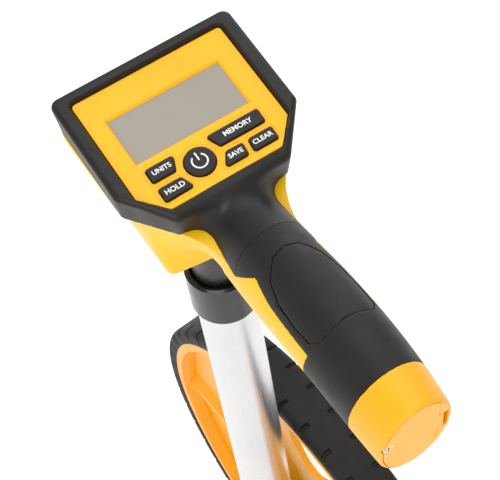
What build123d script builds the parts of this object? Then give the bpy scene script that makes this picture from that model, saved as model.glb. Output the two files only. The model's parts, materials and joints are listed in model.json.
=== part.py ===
from build123d import *
import math
import os

# Digital measuring wheel: a rolling wheel on a telescopic pole, a pistol-grip display head on top.
# Frame: origin on the floor under the pole axis, +X the rolling direction (away from the user),
# +Y to the user's left, +Z up the pole. All lengths are millimetres.

# ---------------------------------------------------------------- wheel
WHEEL_TRAVEL = 1000.0                    # ground covered in one turn
TYRE_R = WHEEL_TRAVEL / (2 * math.pi)
HUB_Z = TYRE_R
WHEEL_Y = -37.5                          # middle plane of the wheel, right of the pole
RIM_LIP_R = 149.0
RIM_HALF_WIDTH = 13.4
RIM_SEAT_R = 147.0
BARREL_R = 140.0
SPOKE_COUNT = 6
WEB_LEFT_Y = -33.0
WEB_THICKNESS = 4.0
RIB_RISE = 5.0
RIB_BASE_HALF = 9.0
RIB_TOP_HALF = 2.2
WINDOW_INNER_R = 74.0
WINDOW_OUTER_R = 112.0
WINDOW_INNER_FILLET = 12.6
WINDOW_OUTER_FILLET = 10.0
HUB_R = 24.0
HUB_LEFT_Y = -26.5
HUB_RIGHT_Y = -51.5
TYRE_HALF_WIDTH = 14.2
MAGNET_COUNT = 10
MAGNET_R = 2.5
MAGNET_RING_R = 18.5

# ---------------------------------------------------------------- axle and bearings
BEARING_R = 11.0
BEARING_WIDTH = 7.0
AXLE_R = 4.0
RUNNING_GAP = 0.05
BRACKET_HALF_WIDTH = 16.0

# ---------------------------------------------------------------- telescopic pole
OUTER_TUBE_R = 14.45
OUTER_TUBE_WALL = 1.2
INNER_TUBE_R = 12.5
INNER_TUBE_WALL = 1.2
TUBE_BOTTOM = 14.0                       # heights from here on are measured from the hub
TUBE_TOP = 338.0
COLLAR_R = 16.3
COLLAR_BOTTOM = 324.6
COLLAR_TOP = 352.5
INNER_TUBE_BOTTOM = 45.0
SOCKET_TOP = 424.0
GUIDE_LENGTH = 20.0

# ---------------------------------------------------------------- fold-out stand
STAND_WIRE_R = 3.0
STAND_PIVOT_Y = 22.0
STAND_PIVOT_Z = HUB_Z - 24.0
STAND_FOOT_Y = 52.5
STAND_FOOT_R = 5.5
STAND_HALF_SPAN = 85.0
STAND_EAR_X = 15.0

# ---------------------------------------------------------------- display head
HEAD_YAW = -4.76                         # the round pole lets the head sit turned in its collar
PANEL_TILT = 7.6
PANEL_X = -29.6                          # lower edge of the yellow panel, in the head's own frame
PANEL_Z = 451.5
PANEL_HALF_WIDTH = 35.35
PANEL_HEIGHT = 62.5
PANEL_CHAMFER = 11.0
PANEL_LOWER_HALF = 25.7
PANEL_THICKNESS = 2.4
GASKET_THICKNESS = 0.6
FRAME_DEPTH = 16.2                       # from the panel's face down to the split with the lower housing
FRAME_RISE = 2.0
HOUSING_BOTTOM = 382.0
LCD_HALF_WIDTH = 25.9
LCD_MIDDLE_Y = 0.5
LCD_BOTTOM = 25.2
LCD_TOP = 48.1
LCD_RECESS = 1.3
BUTTON_RISE = 0.9
BUTTON_GAP = 0.3
BUTTON_BOTTOM = -2.9                     # the key mat lies just over the buttons' 0.8 mm travel below this
MAT_TOP = -3.8
BOARD_TOP = -6.2
BOARD_THICKNESS = 1.6
POWER_CENTRE = (11.8, 5.4)
POWER_R = 6.5

# Outlines in the panel's plane: distance up the display, distance to the left of its middle line.
HALF_SHELL = [(68.5, 42.5), (15.5, 42.2), (-5.6, 25.9), (-14, 19.5), (-33, 16.8)]
HALF_HOUSING_BOTTOM = [(27, 27.5), (-15, 28), (-17, 24), (-17.5, 17), (-18, 10)]
BUTTON_OUTLINES = {
    "units": [(20.1, 25.8), (20.1, 12.9), (13.5, 15.5), (13.5, 25.8)],
    "hold": [(9.9, 25.9), (9.9, 15.4), (3.7, 12.9), (3.5, 25.9)],
    "memory": [(20, -2.4), (20, -26.4), (13.3, -26.2), (13.4, -5.2)],
    "save": [(10, -5.6), (9.8, -13), (3.9, -12.4), (3.9, -1.8)],
    "clear": [(9.9, -15.8), (9.9, -26.6), (3.8, -26.4), (3.8, -15.2)],
}

# ---------------------------------------------------------------- grip: x, axis height, half width, half height
GRIP_STATIONS = [
    (-24.0, 423.0, 16.6, 21.5),
    (-40.0, 424.0, 17.0, 22.5),
    (-60.0, 427.0, 17.6, 23.0),
    (-80.0, 430.0, 18.2, 23.0),
    (-100.0, 433.0, 18.3, 22.3),
    (-120.0, 434.8, 18.0, 22.0),
    (-136.3, 433.5, 17.4, 23.0),
    (-154.3, 431.9, 15.8, 24.6),
]
GRIP_PITCH = 5.1
GRIP_SKIN = 2.2
CAP_LENGTH = 18.0
CAP_FACE_X = -154.3
CAP_FACE_Z = 431.9
DOOR_HALF_WIDTH = 14.4
DOOR_HALF_HEIGHT = 23.0
DOOR_THICKNESS = 2.0
DOOR_EDGE = 9.4                          # across the end face, to the right of its middle
DOOR_HINGE = 11.7
DOOR_HINGE_DEPTH = 1.2
DOOR_GAP = 0.35
DOOR_SWING_GAP = 0.65                    # lets the door's straight edge swing past the cap
DOOR_SCREW = (-12.4, 4.5)
CELL_R = 5.25
CELL_LENGTH = 44.5
CELL_PITCH = 11.0
CELL_Z = 432.5
CELL_END_X = -150.0

os.makedirs("parts", exist_ok=True)

tilt = math.radians(PANEL_TILT)
pitch = math.radians(GRIP_PITCH)
hub_location = Location((0, 0, HUB_Z))
head_location = Location((0, 0, HUB_Z), (0, 0, HEAD_YAW))
wheel_plane = Plane(origin=(0, 0, HUB_Z), x_dir=(1, 0, 0), z_dir=(0, 1, 0))
panel_plane = Plane(
    origin=(PANEL_X, 0, PANEL_Z),
    x_dir=(math.cos(tilt), 0, math.sin(tilt)),
    z_dir=(-math.sin(tilt), 0, math.cos(tilt)),
)
cap_plane = Plane(
    origin=(CAP_FACE_X, 0, CAP_FACE_Z),
    x_dir=(0, -1, 0),
    z_dir=(-math.cos(pitch), 0, -math.sin(pitch)),
)
seam_plane = cap_plane.offset(-CAP_LENGTH)


# ---------------------------------------------------------------- helpers
def save(name, shape, location=Location()):
    """Write one node at its place in the whole; several solids stay separate in it."""
    solids = [location * solid for solid in shape.solids()]
    node = solids[0] if len(solids) == 1 else Compound(children=solids)
    export_step(node, f"parts/{name}.step")


def rod(radius, bottom, top):
    """Round bar along Z between two heights."""
    return Pos(0, 0, (bottom + top) / 2) * Cylinder(radius, top - bottom)


def ring(outer_r, inner_r, bottom, top):
    """Round sleeve along Z between two heights."""
    return rod(outer_r, bottom, top) - rod(inner_r, bottom, top)


def block(x_range, y_range, z_range):
    """Box between three pairs of limits."""
    size = [high - low for low, high in (x_range, y_range, z_range)]
    middle = [(high + low) / 2 for low, high in (x_range, y_range, z_range)]
    return Pos(*middle) * Box(*size)


def revolved(points):
    """Body of revolution about Z from an outline of (radius, height) points."""
    return revolve(Plane.XZ * make_face(Polyline(*points, close=True)), Axis.Z)


def mirrored(points):
    """Outline given for its left half, completed with its mirror image."""
    return points + [(u, -v) for u, v in reversed(points)]


def outline_of(points, radius=0.0):
    """Flat face from corner points, with one corner radius or a list of them."""
    return make_face(FilletPolyline(*points, radius=radius, close=True))


def slab(outline, bottom, top):
    """Plate from a flat outline in the panel's plane, between two heights above the panel."""
    return panel_plane.location * extrude(Pos(0, 0, bottom) * outline, top - bottom)


def head_block(u_range, v_range, h_range):
    """Box in the panel's own directions: up the display, across it, off its surface."""
    return panel_plane.location * block(u_range, v_range, h_range)


# ---------------------------------------------------------------- wheel
def make_wheel_rim():
    half, mid = RIM_HALF_WIDTH, WHEEL_Y
    web_right = WEB_LEFT_Y - WEB_THICKNESS
    lip_inner_r = RIM_LIP_R - 6
    barrel = revolved([
        (lip_inner_r, mid + half),
        (RIM_LIP_R, mid + half),
        (RIM_LIP_R, mid + half - 2),
        (RIM_SEAT_R, mid + half - 3.5),
        (RIM_SEAT_R, mid - half + 3.5),
        (RIM_LIP_R, mid - half + 2),
        (RIM_LIP_R, mid - half),
        (lip_inner_r, mid - half),
        (BARREL_R, web_right - 4),
        (BARREL_R, WEB_LEFT_Y + 1),
    ])
    web = ring(BARREL_R + 1, HUB_R - 1, web_right, WEB_LEFT_Y)
    half_angle = math.pi / SPOKE_COUNT
    apex = WINDOW_INNER_R - WINDOW_INNER_FILLET * (1 / math.sin(half_angle) - 1)
    spread = (WINDOW_OUTER_R - apex) * math.tan(half_angle)
    opening = make_face(FilletPolyline(
        (apex, 0), (WINDOW_OUTER_R, spread), (WINDOW_OUTER_R, -spread),
        radius=[WINDOW_INNER_FILLET, WINDOW_OUTER_FILLET, WINDOW_OUTER_FILLET],
        close=True,
    ))
    window = extrude(Pos(0, 0, web_right - 1) * opening, WEB_THICKNESS + 2)
    rib_outline = make_face(Polyline(
        (-RIB_BASE_HALF, WEB_LEFT_Y),
        (-RIB_TOP_HALF, WEB_LEFT_Y + RIB_RISE),
        (RIB_TOP_HALF, WEB_LEFT_Y + RIB_RISE),
        (RIB_BASE_HALF, WEB_LEFT_Y),
        (RIB_BASE_HALF, web_right),
        (RIB_TOP_HALF, web_right - RIB_RISE),
        (-RIB_TOP_HALF, web_right - RIB_RISE),
        (-RIB_BASE_HALF, web_right),
        close=True,
    ))
    rib = extrude(Pos(HUB_R - 2, 0, 0) * (Plane.YZ * rib_outline), BARREL_R + 1 - HUB_R + 2)
    step = 360 / SPOKE_COUNT
    rim = barrel + web
    for turn in range(SPOKE_COUNT):
        rim -= Rot(0, 0, (turn + 0.5) * step) * window
    for turn in range(SPOKE_COUNT):
        rim += Rot(0, 0, turn * step) * rib
    rim += rod(HUB_R + 18, web_right - 2, WEB_LEFT_Y + 2)
    rim += rod(HUB_R, HUB_RIGHT_Y, HUB_LEFT_Y)
    rim -= rod(BEARING_R - 2, HUB_RIGHT_Y - 1, HUB_LEFT_Y + 1)
    rim -= rod(BEARING_R, HUB_LEFT_Y - BEARING_WIDTH, HUB_LEFT_Y + 1)
    rim -= rod(BEARING_R, HUB_RIGHT_Y - 1, HUB_RIGHT_Y + 10)
    rim -= magnet_ring()
    return rim


def magnet_ring():
    """Small magnets round the hub's left face, which the pulse sensor counts."""
    magnet = Pos(MAGNET_RING_R, 0, 0) * rod(MAGNET_R, HUB_LEFT_Y - 3, HUB_LEFT_Y)
    return Compound(children=[
        Rot(0, 0, turn * 360 / MAGNET_COUNT) * solid
        for turn in range(MAGNET_COUNT)
        for solid in magnet.solids()
    ])


def make_tyre():
    half, mid = TYRE_HALF_WIDTH, WHEEL_Y
    rim_half = RIM_HALF_WIDTH
    return revolved([
        (RIM_SEAT_R, mid + rim_half - 3.5),
        (RIM_LIP_R, mid + rim_half - 2),
        (RIM_LIP_R, mid + rim_half),
        (RIM_LIP_R + 0.8, mid + half - 0.2),
        (RIM_LIP_R + 4.5, mid + half),
        (TYRE_R - 2.6, mid + half - 0.9),
        (TYRE_R - 0.8, mid + half - 2.4),
        (TYRE_R, mid + half - 4.4),
        (TYRE_R, mid - half + 4.4),
        (TYRE_R - 0.8, mid - half + 2.4),
        (TYRE_R - 2.6, mid - half + 0.9),
        (RIM_LIP_R + 4.5, mid - half),
        (RIM_LIP_R + 0.8, mid - half + 0.2),
        (RIM_LIP_R, mid - rim_half),
        (RIM_LIP_R, mid - rim_half + 2),
        (RIM_SEAT_R, mid - rim_half + 3.5),
    ])


def make_bearing(left_y):
    """Sealed ball bearing with its shields set back between the two races."""
    right_y = left_y - BEARING_WIDTH
    bore, race_in, race_out, sink = AXLE_R + RUNNING_GAP, 6.2, 9.2, 0.4
    return revolved([
        (bore, right_y), (race_in, right_y), (race_in, right_y + sink), (race_out, right_y + sink),
        (race_out, right_y), (BEARING_R, right_y), (BEARING_R, left_y), (race_out, left_y),
        (race_out, left_y - sink), (race_in, left_y - sink), (race_in, left_y), (bore, left_y),
    ])


def make_hub_cap():
    cap = rod(15, HUB_RIGHT_Y - 7, HUB_RIGHT_Y)
    cap = fillet(cap.edges().filter_by(GeomType.CIRCLE).sort_by(Axis.Z)[0], 3)
    cap -= rod(9, HUB_RIGHT_Y - 5.8, HUB_RIGHT_Y)
    return cap + ring(BEARING_R, 9.7, HUB_RIGHT_Y, HUB_RIGHT_Y + 1.8)


# ---------------------------------------------------------------- axle and bracket, in the wheel's plane
def make_axle():
    head = extrude(Pos(0, 0, BRACKET_HALF_WIDTH) * RegularPolygon(7.5, 6), 5.3)
    return head + rod(AXLE_R, HUB_RIGHT_Y - 5, BRACKET_HALF_WIDTH)


def make_axle_nut():
    nut = extrude(Pos(0, 0, HUB_RIGHT_Y - 5.1) * RegularPolygon(7.5, 6), 6.5)
    return nut - rod(AXLE_R, HUB_RIGHT_Y - 6, HUB_RIGHT_Y + 2)


def make_sensor_cover():
    depth = 8.6
    shell = block((-9, 9), (-31, -9), (-BRACKET_HALF_WIDTH - depth, -BRACKET_HALF_WIDTH))
    shell = fillet(shell.edges().filter_by(Axis.Z), 2)
    room = block((-7.6, 7.6), (-29.6, -10.4), (-BRACKET_HALF_WIDTH - depth + 1.4, -BRACKET_HALF_WIDTH))
    return shell - room


def make_sensor_board():
    return block((-7, 7), (-28.5, -11.5), (-22.8, -21.6))


TUBE_SCREW_HEIGHTS = (24.0, 36.0)


def tube_screw(height, head_r=3.6):
    """Cap screw through the bracket's rear wall into the pole."""
    shank = Pos(-14.8, 0, height) * Rot(0, 90, 0) * Cylinder(2, 6.4)
    head = Pos(-19.4, 0, height) * Rot(0, 90, 0) * Cylinder(head_r, 2.8)
    return shank + head


def make_hub_bracket():
    column = rod(18, -6, 62)
    boss = Rot(90, 0, 0) * rod(17, -20, 20)
    body = (column + boss) & block((-30, 30), (-BRACKET_HALF_WIDTH, BRACKET_HALF_WIDTH), (-40, 70))
    pivot_z = STAND_PIVOT_Z - HUB_Z
    body += block((-8, 8), (8, STAND_PIVOT_Y + 5), (pivot_z - 7, pivot_z + 15))
    body -= rod(OUTER_TUBE_R, TUBE_BOTTOM, 70)
    body -= Rot(90, 0, 0) * rod(AXLE_R, -20, 20)
    body -= Pos(0, STAND_PIVOT_Y, pivot_z) * Rot(0, 90, 0) * Cylinder(STAND_WIRE_R + RUNNING_GAP, 40)
    for height in TUBE_SCREW_HEIGHTS:
        body -= tube_screw(height)
    return body


# ---------------------------------------------------------------- pole, heights from the hub
def make_outer_tube():
    tube = ring(OUTER_TUBE_R, OUTER_TUBE_R - OUTER_TUBE_WALL, TUBE_BOTTOM, TUBE_TOP)
    for height in TUBE_SCREW_HEIGHTS:
        tube -= tube_screw(height)
    return tube


def make_tube_collar():
    bore = INNER_TUBE_R + RUNNING_GAP
    collar = rod(COLLAR_R, COLLAR_BOTTOM, COLLAR_TOP)
    collar = chamfer(collar.edges().filter_by(GeomType.CIRCLE).sort_by(Axis.Z)[-1], 1.2)
    collar -= rod(OUTER_TUBE_R, COLLAR_BOTTOM, TUBE_TOP)
    collar -= rod(bore, TUBE_TOP, COLLAR_TOP)
    return collar - Pos(0, 0, COLLAR_TOP - 1.5) * Cone(bore, bore + 1.3, 3)


def make_guide_bush():
    bore = INNER_TUBE_R + RUNNING_GAP
    return ring(OUTER_TUBE_R - OUTER_TUBE_WALL, bore, TUBE_TOP - GUIDE_LENGTH, TUBE_TOP)


def make_inner_tube():
    return ring(INNER_TUBE_R, INNER_TUBE_R - INNER_TUBE_WALL, INNER_TUBE_BOTTOM, SOCKET_TOP)


def make_inner_tube_bush():
    slide_r = OUTER_TUBE_R - OUTER_TUBE_WALL - RUNNING_GAP
    return ring(slide_r, INNER_TUBE_R, INNER_TUBE_BOTTOM, INNER_TUBE_BOTTOM + GUIDE_LENGTH)


# ---------------------------------------------------------------- stand
def make_stand_frame():
    """Bent wire: two pivot ends in the bracket's ear, two legs and a bar along the floor."""
    low = (STAND_HALF_SPAN, STAND_FOOT_Y, STAND_FOOT_R)
    high = (STAND_EAR_X, STAND_PIVOT_Y, STAND_PIVOT_Z)
    end = (2.0, STAND_PIVOT_Y, STAND_PIVOT_Z)
    side = [end, high, low]
    other = [(-x, y, z) for x, y, z in reversed(side)]
    path = FilletPolyline(*side, *other, radius=7)
    outline = Plane(origin=end, x_dir=(0, 1, 0), z_dir=(1, 0, 0)) * Circle(STAND_WIRE_R)
    return sweep(outline, path=path)


def make_stand_feet():
    outer = STAND_HALF_SPAN - 14
    foot = Rot(0, 90, 0) * ring(STAND_FOOT_R, STAND_WIRE_R, outer - 28, outer)
    right = Pos(0, STAND_FOOT_Y, STAND_FOOT_R) * foot
    return Compound(children=[*right.solids(), *mirror(right, Plane.YZ).solids()])


# ---------------------------------------------------------------- grip
def grip_loft(inset, stations=GRIP_STATIONS):
    """Grip body, or its core when inset, through upright ovals; the last two lean with the end face."""
    sections = []
    for x, z, half_width, half_height in stations:
        lean = pitch if x < CAP_FACE_X + CAP_LENGTH + 1 else 0.0
        facing = Plane(origin=(x, 0, z), x_dir=(0, -1, 0), z_dir=(-math.cos(lean), 0, -math.sin(lean)))
        sections.append(facing * Ellipse(half_width - inset, half_height - inset))
    return loft(sections)


def make_grip_parts():
    """Outer grip, its core and the thin layer of the pad, each cut at the end cap's seam."""
    beyond_seam = seam_plane.location * block((-40, 40), (-50, 50), (0, 60))
    outer = grip_loft(0)
    core = grip_loft(GRIP_SKIN) - beyond_seam
    pad_region = block((-112, -62), (-11.5, 11.5), (440, 470))
    pad = (outer - grip_loft(GRIP_SKIN / 2)) & pad_region
    return outer - beyond_seam, core, pad, outer & beyond_seam


def side_strip():
    """Prism through the yellow strips that run back along both sides of the grip."""
    profile = Polyline(
        (-17, 390), (-30, 402), (-65, 414), (-90, 420), (-106.5, 424), (-110, 443),
        (-83, 441.3), (-70, 442.5), (-58, 431.3), (-17, 436.7), close=True,
    )
    return extrude(Plane.XZ * make_face(profile), 40, both=True)


# ---------------------------------------------------------------- display head
def wedge(half_top, half_bottom, bottom_z, top_h):
    """Body between an outline under the display and an outline level with the floor."""
    top = panel_plane.location * Pos(0, 0, top_h) * outline_of(mirrored(half_top))
    bottom = Pos(0, 0, bottom_z) * outline_of(mirrored(half_bottom))
    return loft([bottom, top], ruled=True)


def upright(radius, bottom, top, u, v):
    """Round bar square to the display, for a screw, its boss or its hole."""
    return panel_plane.location * Pos(u, v, 0) * rod(radius, bottom, top)


def split_height(x):
    """Height of the split between the two shells."""
    rear_x = PANEL_X + FRAME_DEPTH * math.sin(tilt)
    return PANEL_Z - FRAME_DEPTH * math.cos(tilt) + (x - rear_x) * math.tan(tilt)


HOUSING_SCREWS = [(x, y) for x in (-9.5, 21.0) for y in (-21.0, 21.0)]
BOARD_SCREWS = [(u, v) for u in (23, 57) for v in (-30.6, 30.6)]


def make_head_shell(grip_skin, core, region):
    """Black upper shell: raised rim round the panel, sloping neck down to the grip."""
    corner_radii = [6, 3, 6, 20, 0]
    outline = outline_of(mirrored(HALF_SHELL), corner_radii + corner_radii[::-1])
    outer = slab(outline, -FRAME_DEPTH, FRAME_RISE)
    neck_skin = grip_skin & block((-60, -28), (-30, 30), (425, 470))
    slope = Polyline((13, 2.2), (0, 0), (-8, -2.5), (-20, -4.5), (-36, -4.5), (-36, 9), (13, 9), close=True)
    above_neck = panel_plane.location * extrude(Plane.XZ * make_face(slope), 50, both=True)
    body = (outer - above_neck) & region
    seat = -PANEL_THICKNESS - GASKET_THICKNESS
    body -= slab(panel_outline(0.2), seat, 12)
    body -= slab(panel_outline(-1.6), -FRAME_DEPTH - 1, seat)
    room = [(66, 39.8), (14, 39.4), (2, 29), (-5, 24), (-10, 17)]
    body -= slab(outline_of(mirrored(room)), -FRAME_DEPTH - 1, seat - 2)
    for x, y in HOUSING_SCREWS:
        u = (x - PANEL_X - FRAME_DEPTH * math.sin(tilt)) / math.cos(tilt)
        across = sorted((y * 0.8, math.copysign(40.5, y)))
        body += head_block((u - 4.5, u + 4.5), across, (-FRAME_DEPTH, -10.5))
        body -= Pos(x, y, 0) * rod(1.3, split_height(x) - 1, split_height(x) + 4)
    return (body - core) + (neck_skin & region)


def make_lower_housing(core, outer_grip):
    """Yellow lower shell, in one piece with the battery tube and the strips along the grip."""
    body = wedge(HALF_SHELL, HALF_HOUSING_BOTTOM, HOUSING_BOTTOM, -FRAME_DEPTH)
    half_room_top = [(66, 39.8), (14, 39.4), (0, 26), (-8, 18), (-12, 12)]
    half_room_bottom = [(24.5, 25), (-12.5, 25.3), (-14.3, 22), (-14.8, 15), (-15, 9)]
    room = wedge(half_room_top, half_room_bottom, HOUSING_BOTTOM + 2.6, -FRAME_DEPTH)
    body -= room
    body += rod(OUTER_TUBE_R + 1.6, HOUSING_BOTTOM, SOCKET_TOP + 3)
    under_split = head_block((-60, 80), (-60, 60), (-90, -FRAME_DEPTH))
    for x, y in HOUSING_SCREWS:
        body += (Pos(x, y, 0) * rod(4.4, HOUSING_BOTTOM, 450)) & under_split
    body += core + (outer_grip & side_strip())
    body -= rod(INNER_TUBE_R, HOUSING_BOTTOM - 1, SOCKET_TOP)
    for x, y in HOUSING_SCREWS:
        body -= Pos(x, y, 0) * rod(1.7, HOUSING_BOTTOM, 450)
        body -= Pos(x, y, 0) * rod(3.2, HOUSING_BOTTOM - 1, split_height(x) - 8)
    body -= battery_slot()
    body -= Pos(-60, 0, 428) * Rot(0, 90, 0) * Cylinder(2.5, 100)
    return body


def panel_outline(grow):
    """Outline of the yellow panel, grown or shrunk all round."""
    lower, side = PANEL_LOWER_HALF + grow, PANEL_HALF_WIDTH + grow
    half = [(PANEL_HEIGHT + grow, side), (PANEL_CHAMFER - grow * 0.6, side), (-grow, lower)]
    return outline_of(mirrored(half), [3, 2, 1.5, 1.5, 2, 3])


def display_window(grow, bottom, top):
    """Block over the display window, grown all round."""
    left, right = LCD_MIDDLE_Y + LCD_HALF_WIDTH + grow, LCD_MIDDLE_Y - LCD_HALF_WIDTH - grow
    return head_block((LCD_BOTTOM - grow, LCD_TOP + grow), (right, left), (bottom, top))


def button(outline, grow, bottom, top):
    """Button body, or its hole when grown."""
    return slab(offset(outline, grow) if grow else outline, bottom, top)


BUTTONS = {name: outline_of(points, 1.0) for name, points in BUTTON_OUTLINES.items()}
BUTTONS["power"] = Pos(*POWER_CENTRE) * Circle(POWER_R)


def make_fascia_panel():
    panel = slab(panel_outline(0), -PANEL_THICKNESS, 0)
    panel -= display_window(0, -LCD_RECESS, 1)
    panel -= display_window(1.5, -PANEL_THICKNESS, -LCD_RECESS)
    for outline in BUTTONS.values():
        panel -= button(outline, BUTTON_GAP, -PANEL_THICKNESS, 1)
    for u, v in BOARD_SCREWS:
        panel += upright(2.2, BOARD_TOP, -PANEL_THICKNESS, u, v)
        panel -= upright(0.9, BOARD_TOP, -PANEL_THICKNESS - 0.6, u, v)
    return panel


def make_panel_gasket():
    bottom = -PANEL_THICKNESS - GASKET_THICKNESS
    return slab(panel_outline(-0.2), bottom, -PANEL_THICKNESS) - slab(panel_outline(-1.6), bottom, -PANEL_THICKNESS)


def make_circuit_board():
    board = slab(outline_of(mirrored([(61, 33), (10, 33), (3, 26)])), BOARD_TOP - BOARD_THICKNESS, BOARD_TOP)
    chip = head_block((30, 40), (-6, 6), (BOARD_TOP - BOARD_THICKNESS - 1.8, BOARD_TOP - BOARD_THICKNESS))
    for u, v in BOARD_SCREWS:
        board -= upright(1.4, BOARD_TOP - 5, BOARD_TOP + 1, u, v)
    return board + chip


def make_board_screws():
    underside = BOARD_TOP - BOARD_THICKNESS
    return Compound(children=[
        solid
        for u, v in BOARD_SCREWS
        for solid in (upright(2, underside - 1.4, underside, u, v) + upright(0.9, underside, -3.4, u, v)).solids()
    ])


def make_housing_screws():
    screws = []
    for x, y in HOUSING_SCREWS:
        seat = split_height(x) - 8
        screws.extend((Pos(x, y, 0) * (rod(2.8, seat - 2.2, seat) + rod(1.3, seat, seat + 11.5))).solids())
    return Compound(children=screws)


# ---------------------------------------------------------------- battery end
def on_cap(shape):
    """Place a shape given in the end face's plane: right of its middle, up, outwards."""
    return cap_plane.location * shape


def battery_slot():
    height = 3 * CELL_PITCH + 0.6
    return Pos(0, 0, CELL_Z) * block((-170, -101), (-CELL_R - 0.5, CELL_R + 0.5), (-height / 2, height / 2))


def door_outline(gap=0.0, hinge_gap=0.0):
    """Oval cut off by a straight edge beside the hinge."""
    oval = Ellipse(DOOR_HALF_WIDTH + gap, DOOR_HALF_HEIGHT + gap)
    return oval & Pos(DOOR_EDGE + hinge_gap - 50, 0, 0) * Rectangle(100, 100)


def door_hinge_bar(radius, half_length):
    """Round bar on the hinge line."""
    return Pos(DOOR_HINGE, 0, -DOOR_HINGE_DEPTH) * Rot(90, 0, 0) * Cylinder(radius, 2 * half_length)


def make_end_cap(cap):
    cap -= battery_slot()
    cap -= on_cap(Pos(0, 0, -DOOR_THICKNESS) * extrude(door_outline(DOOR_GAP, DOOR_SWING_GAP), 10))
    cap -= on_cap(block((DOOR_EDGE - 1, DOOR_HINGE + 2.2), (-6.3, 6.3), (-2.8, 8)))
    cap -= on_cap(door_hinge_bar(0.7 + RUNNING_GAP, 7.4))
    cap -= on_cap(Pos(*DOOR_SCREW, 0) * rod(2.5, -DOOR_THICKNESS, 5))
    return cap - on_cap(Pos(*DOOR_SCREW, 0) * rod(1.65, -6, 5))


def make_battery_door():
    door = extrude(Pos(0, 0, -DOOR_THICKNESS) * door_outline(), DOOR_THICKNESS)
    door += block((DOOR_EDGE - 1, DOOR_HINGE), (-5.8, 5.8), (-DOOR_HINGE_DEPTH - 0.9, 0))
    door += door_hinge_bar(0.9, 5.8) + door_hinge_bar(0.7, 7.2)
    door -= Pos(*DOOR_SCREW, 0) * rod(2.2, -1.5, 5)
    return on_cap(door - Pos(*DOOR_SCREW, 0) * rod(1.25, -5, 5))


def make_door_screw():
    screw = rod(2.2, -1.5, -0.1) + rod(1.25, -4.2, -1.5)
    screw -= block((-1.5, 1.5), (-0.3, 0.3), (-0.9, 0)) + block((-0.3, 0.3), (-1.5, 1.5), (-0.9, 0))
    return on_cap(Pos(*DOOR_SCREW, 0) * screw)


def make_door_contacts():
    """Strip under the door that joins the cells, held by the door."""
    return on_cap(block((-4.2, 4.2), (-15.5, 15.5), (-DOOR_THICKNESS - 0.4, -DOOR_THICKNESS)))


CELL_HEIGHTS = [CELL_Z + step * CELL_PITCH for step in (-1, 0, 1)]


def make_batteries():
    cell = rod(CELL_R, 0, CELL_LENGTH - 1) + rod(1.9, CELL_LENGTH - 1, CELL_LENGTH)
    turned = [Rot(0, 90, 0) * cell, Pos(CELL_LENGTH, 0, 0) * Rot(0, -90, 0) * cell]
    return Compound(children=[
        solid
        for row, height in enumerate(CELL_HEIGHTS)
        for solid in (Pos(CELL_END_X, 0, height) * turned[row % 2]).solids()
    ])


def make_battery_springs():
    """Contact plates with a spring washer each, at the inner end of the cells."""
    front = CELL_END_X + CELL_LENGTH
    springs = []
    for height in CELL_HEIGHTS:
        plate = Pos(0, 0, height) * block((front + 4, front + 4.5), (-4.5, 4.5), (-4.5, 4.5))
        spring = Pos(front + 2, 0, height) * Rot(0, 90, 0) * Cone(2.4, 4, 4)
        springs.extend((plate + spring).solids())
    return Compound(children=springs)


# ---------------------------------------------------------------- writing the nodes
outer_grip, grip_core, pad_layer, cap_body = make_grip_parts()
grip_skin = outer_grip - grip_core
strip = side_strip()
housing_wedge = wedge(HALF_SHELL, HALF_HOUSING_BOTTOM, HOUSING_BOTTOM, -FRAME_DEPTH)
shell_region = block((-58, 60), (-60, 60), (300, 520)) & head_block((-45, 90), (-60, 60), (-FRAME_DEPTH, 60))
cover = grip_skin - strip - housing_wedge - shell_region - pad_layer

wheel_nodes = {
    "wheel_rim": make_wheel_rim(),
    "tyre": make_tyre(),
    "bearing_left": make_bearing(HUB_LEFT_Y),
    "bearing_right": make_bearing(HUB_RIGHT_Y + 3 + BEARING_WIDTH),
    "encoder_magnets": magnet_ring(),
    "hub_cap": make_hub_cap(),
    "axle": make_axle(),
    "axle_spacer": ring(6, AXLE_R, HUB_LEFT_Y + 0.2, -BRACKET_HALF_WIDTH),
    "axle_washer": ring(7, AXLE_R, HUB_RIGHT_Y + 1.4, HUB_RIGHT_Y + 2.8),
    "axle_nut": make_axle_nut(),
    "sensor_cover": make_sensor_cover(),
    "sensor_board": make_sensor_board(),
}
pole_nodes = {
    "hub_bracket": make_hub_bracket(),
    "tube_screws": Compound(children=[
        solid for height in TUBE_SCREW_HEIGHTS for solid in tube_screw(height).solids()
    ]),
    "outer_tube": make_outer_tube(),
    "tube_collar": make_tube_collar(),
    "guide_bush": make_guide_bush(),
    "inner_tube": make_inner_tube(),
    "inner_tube_bush": make_inner_tube_bush(),
}
stand_nodes = {
    "kickstand_frame": make_stand_frame(),
    "kickstand_feet": make_stand_feet(),
}
lcd_bottom, lcd_top = LCD_BOTTOM - 2, LCD_TOP + 2
head_nodes = {
    "lower_housing": make_lower_housing(grip_core, outer_grip),
    "head_shell": make_head_shell(grip_skin - strip, grip_core, shell_region),
    "grip_cover": cover,
    "grip_pad": pad_layer,
    "fascia_panel": make_fascia_panel(),
    "panel_gasket": make_panel_gasket(),
    "lcd_window": display_window(1.3, -PANEL_THICKNESS, -LCD_RECESS),
    "lcd_module": head_block((lcd_bottom, lcd_top), (-26.5, 27.5), (-6, -PANEL_THICKNESS)),
    "circuit_board": make_circuit_board(),
    "keypad_mat": slab(outline_of(mirrored([(21.5, 27), (6, 27), (2, 22.5)])), BOARD_TOP, MAT_TOP),
    "board_screws": make_board_screws(),
    "housing_screws": make_housing_screws(),
    "end_cap": make_end_cap(cap_body),
    "batteries": make_batteries(),
    "battery_springs": make_battery_springs(),
    "battery_door": make_battery_door(),
    "door_contacts": make_door_contacts(),
    "door_screw": make_door_screw(),
}
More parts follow.
